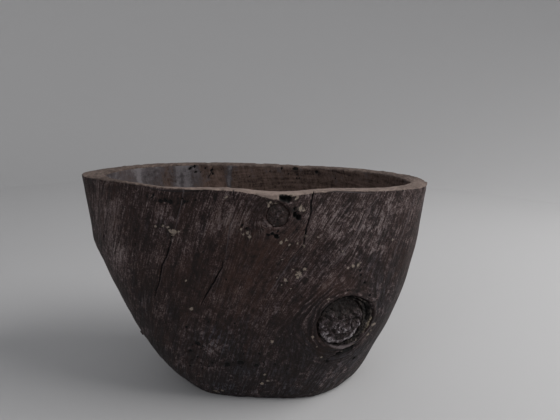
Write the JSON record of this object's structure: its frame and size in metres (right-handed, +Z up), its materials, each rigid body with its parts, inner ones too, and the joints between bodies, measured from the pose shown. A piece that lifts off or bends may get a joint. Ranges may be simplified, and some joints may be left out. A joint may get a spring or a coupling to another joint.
{
  "type": "carved wooden bowl",
  "caption": "Deep oval bowl hewn from one block of dark weathered hardwood, open at the top, with dead knots set in its wall and a flat foot.",
  "frame": {"origin": "on the surface the bowl stands on, under the middle of its bounding box", "axes": "+Z up, +X along the bowl's length towards the end with the large knot, +Y across the bowl, so that the side with the knots faces -Y"},
  "size_m": [0.3419, 0.184, 0.218],
  "materials": {
    "weathered_wood": "dark weathered hardwood, open grain, dry and matt, worn paler along the rim",
    "knot_wood": "near-black end grain, hard and faintly glossy, cracked",
    "bark": "decayed bark, rough and crumbling, matt"
  },
  "bodies": {
    "root": {"bowl_body": "weathered_wood", "main_knot_core": "knot_wood", "main_knot_bark": "bark", "rim_knot_core": "knot_wood", "pin_knot": "knot_wood"}
  },
  "joints": []
}
